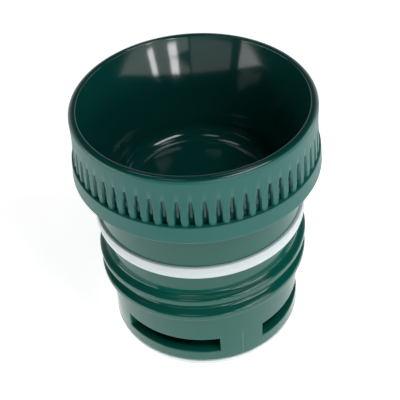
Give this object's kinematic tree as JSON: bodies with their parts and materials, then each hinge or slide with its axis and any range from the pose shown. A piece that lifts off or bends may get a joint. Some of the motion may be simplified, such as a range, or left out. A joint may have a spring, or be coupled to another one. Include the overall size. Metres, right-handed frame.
{
  "type": "vacuum flask stopper",
  "caption": "Twist-and-pour stopper for a vacuum flask: ribbed grip with a deep bowl on top, threaded sleeve with pour windows, neck seal and bevelled seat gasket.",
  "frame": {"origin": "centre of the base, on the face that the stopper rests on", "axes": "+Z along the stopper's axis, from the base to the rim; -Y towards the front pour window"},
  "size_m": [0.0566, 0.0566, 0.0668],
  "materials": {
    "satin_green": "dark green polypropylene, satin outside and glossy inside the bowl",
    "gloss_green": "dark green polypropylene, high gloss from a polished mould",
    "white_silicone": "white silicone rubber, smooth and faintly translucent",
    "foam": "pale rigid polyurethane foam"
  },
  "bodies": {
    "root": {"grip_cup": "satin_green", "threaded_sleeve": "gloss_green", "foam_core": "foam", "neck_seal": "white_silicone", "chamber_plug": "gloss_green", "seat_gasket": "white_silicone", "base_disc": "gloss_green"}
  },
  "joints": []
}
